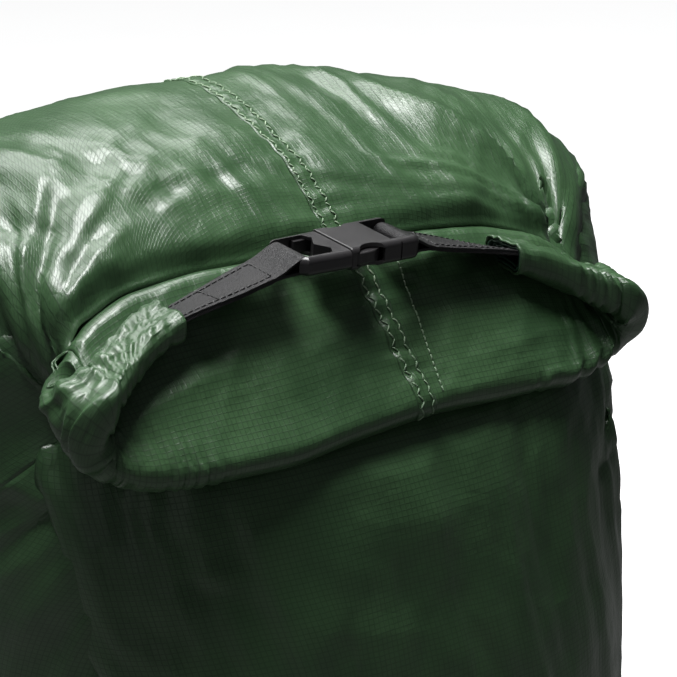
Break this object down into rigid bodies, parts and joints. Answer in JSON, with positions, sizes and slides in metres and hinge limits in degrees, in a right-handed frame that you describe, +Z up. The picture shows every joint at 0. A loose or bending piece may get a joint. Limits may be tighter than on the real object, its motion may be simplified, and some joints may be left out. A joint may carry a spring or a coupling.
{
  "type": "roll-top stuff sack",
  "caption": "Round-based ripstop stuff sack with a rolled flat mouth whose turned-up ends clip together over the roll with a side-release buckle.",
  "frame": {"origin": "centre of the round base where it meets the ground, on the sack's axis", "axes": "+Z up the sack, +X along the rolled mouth towards the buckle's receiver, -Y towards the front wall the roll folds on to"},
  "size_m": [0.3102, 0.3, 0.5171],
  "materials": {
    "green_ripstop": "coated ripstop nylon, satin sheen",
    "binding_tape": "folded binding tape, matt",
    "seam_tape": "clear heat-sealed tape",
    "green_thread": "spun sewing thread",
    "charcoal_tab": "coated woven tab, matt grain",
    "black_thread": "bonded sewing thread",
    "buckle_plastic": "moulded acetal, fine matt texture"
  },
  "bodies": {
    "sack": {"body_panel": "green_ripstop", "base_panel": "green_ripstop", "base_seam_binding": "binding_tape", "base_seam_thread": "green_thread", "base_seam_tape": "seam_tape", "side_seam_fell": "green_ripstop", "side_seam_thread": "green_thread", "side_seam_tape": "seam_tape", "neck_fold": "green_ripstop"},
    "roll": {"rolled_mouth": "green_ripstop", "mouth_stiffener": "charcoal_tab", "roll_seam_fell": "green_ripstop", "roll_seam_thread": "green_thread", "left_roll_bend": "green_ripstop", "right_roll_bend": "green_ripstop"},
    "left_end": {"left_roll_end": "green_ripstop"},
    "left_strap": {"left_tab": "charcoal_tab", "left_tab_thread": "black_thread"},
    "right_end": {"right_roll_end": "green_ripstop", "right_tab": "charcoal_tab", "right_tab_thread": "black_thread"},
    "receiver": {"buckle_receiver": "buckle_plastic"},
    "plug": {"buckle_plug": "buckle_plastic"},
    "front_arm": {"front_latch_arm": "buckle_plastic"},
    "rear_arm": {"rear_latch_arm": "buckle_plastic"}
  },
  "joints": [
    {"name": "buckle_release", "type": "slide", "parent": "receiver", "child": "plug", "axis": [-1, 0, 0], "range_m": [0, 0.022], "stiffness_N_per_m": 40, "deforming": ["front_latch_arm", "rear_latch_arm"]},
    {"name": "latch_squeeze", "type": "hinge", "parent": "plug", "child": "front_arm", "pos_m": [-0.037, -0.09372, 0.48734], "axis": [0, -0.1045, 0.9945], "range_deg": [0, 10], "stiffness_Nm_per_rad": 0.05},
    {"name": "rear_latch_squeeze", "type": "hinge", "parent": "plug", "child": "rear_arm", "pos_m": [-0.037, -0.07344, 0.48947], "axis": [0, 0.1045, -0.9945], "range_deg": [0, 10], "stiffness_Nm_per_rad": 0.05},
    {"name": "roll_lift", "type": "hinge", "parent": "sack", "child": "roll", "pos_m": [-0.02, -0.058, 0.48], "axis": [-1, 0, 0], "range_deg": [0, 70], "stiffness_Nm_per_rad": 0.05, "deforming": ["neck_fold"]},
    {"name": "right_end_spread", "type": "hinge", "parent": "roll", "child": "right_end", "pos_m": [0.106, -0.07724, 0.46873], "axis": [0, 0.6428, 0.766], "range_deg": [0, 3.5], "deforming": ["right_roll_bend", "right_tab", "right_tab_thread"]},
    {"name": "receiver_swing", "type": "hinge", "parent": "right_end", "child": "receiver", "pos_m": [0.006, -0.08358, 0.48841], "axis": [0, -0.6428, -0.766], "range_deg": [0, 3.5]},
    {"name": "left_end_spread", "type": "hinge", "parent": "roll", "child": "left_end", "pos_m": [-0.146, -0.07724, 0.46873], "axis": [0, -0.6428, -0.766], "range_deg": [0, 48.33], "deforming": ["left_roll_bend"]},
    {"name": "left_tab_swing", "type": "hinge", "parent": "left_end", "child": "left_strap", "pos_m": [-0.103, -0.08299, 0.47356], "axis": [0, 0.6428, 0.766], "range_deg": [0, 71.8], "deforming": ["left_tab", "left_tab_thread"]}
  ],
  "couplings": [
    {"joint": "rear_latch_squeeze", "follows": "latch_squeeze", "ratio": 1},
    {"joint": "right_end_spread", "follows": "buckle_release", "rad_per_m": 2.7767},
    {"joint": "receiver_swing", "follows": "buckle_release", "rad_per_m": 2.7767},
    {"joint": "left_end_spread", "follows": "buckle_release", "rad_per_m": 38.338},
    {"joint": "left_tab_swing", "follows": "buckle_release", "rad_per_m": 56.961}
  ]
}
